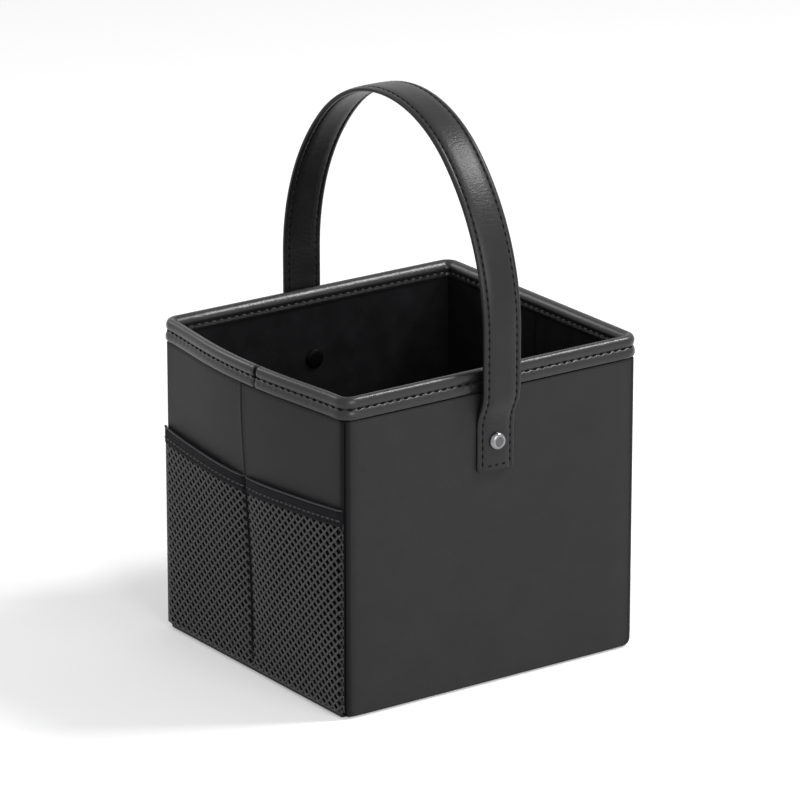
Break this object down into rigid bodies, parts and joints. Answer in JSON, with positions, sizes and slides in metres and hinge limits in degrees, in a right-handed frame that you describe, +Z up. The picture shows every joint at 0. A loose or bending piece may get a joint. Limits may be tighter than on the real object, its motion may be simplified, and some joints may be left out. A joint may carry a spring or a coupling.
{
  "type": "armrest storage box",
  "caption": "Open-top black leather storage box for a car armrest, with a swinging strap handle on rivets, a rolled stitched rim and elastic-topped mesh pockets on its left side.",
  "frame": {"origin": "middle of the underside of the box", "axes": "+Z up, -Y out of the front face, -X out of the side with the mesh pockets"},
  "size_m": [0.1861, 0.1744, 0.286],
  "materials": {
    "leather": "satin",
    "board": "matte",
    "insert_board": "matte",
    "lining_cloth": "matte",
    "netting": "matte",
    "elastic": "satin",
    "black_cap": "gloss",
    "rivet_metal": "polished"
  },
  "bodies": {
    "box": {"front_cover": "leather", "front_board": "board", "front_lining": "lining_cloth", "back_cover": "leather", "back_board": "board", "back_lining": "lining_cloth", "left_cover": "leather", "left_board_front": "board", "left_board_rear": "board", "left_lining": "lining_cloth", "right_cover": "leather", "right_board_front": "board", "right_board_rear": "board", "right_lining": "lining_cloth", "base_cover": "leather", "floor_lining": "lining_cloth", "base_insert": "insert_board", "rim_binding": "leather", "pocket_mesh": "netting", "pocket_hem": "elastic", "front_rivet": "rivet_metal", "front_rivet_cap": "black_cap", "back_rivet": "rivet_metal", "back_rivet_cap": "black_cap"},
    "handle": {"handle_strap": "leather", "handle_backing": "leather"}
  },
  "joints": [
    {"name": "handle_swing", "type": "hinge", "parent": "box", "child": "handle", "pos_m": [0, 0, 0.1268], "axis": [0, 1, 0], "range_deg": [-57, 57]}
  ]
}
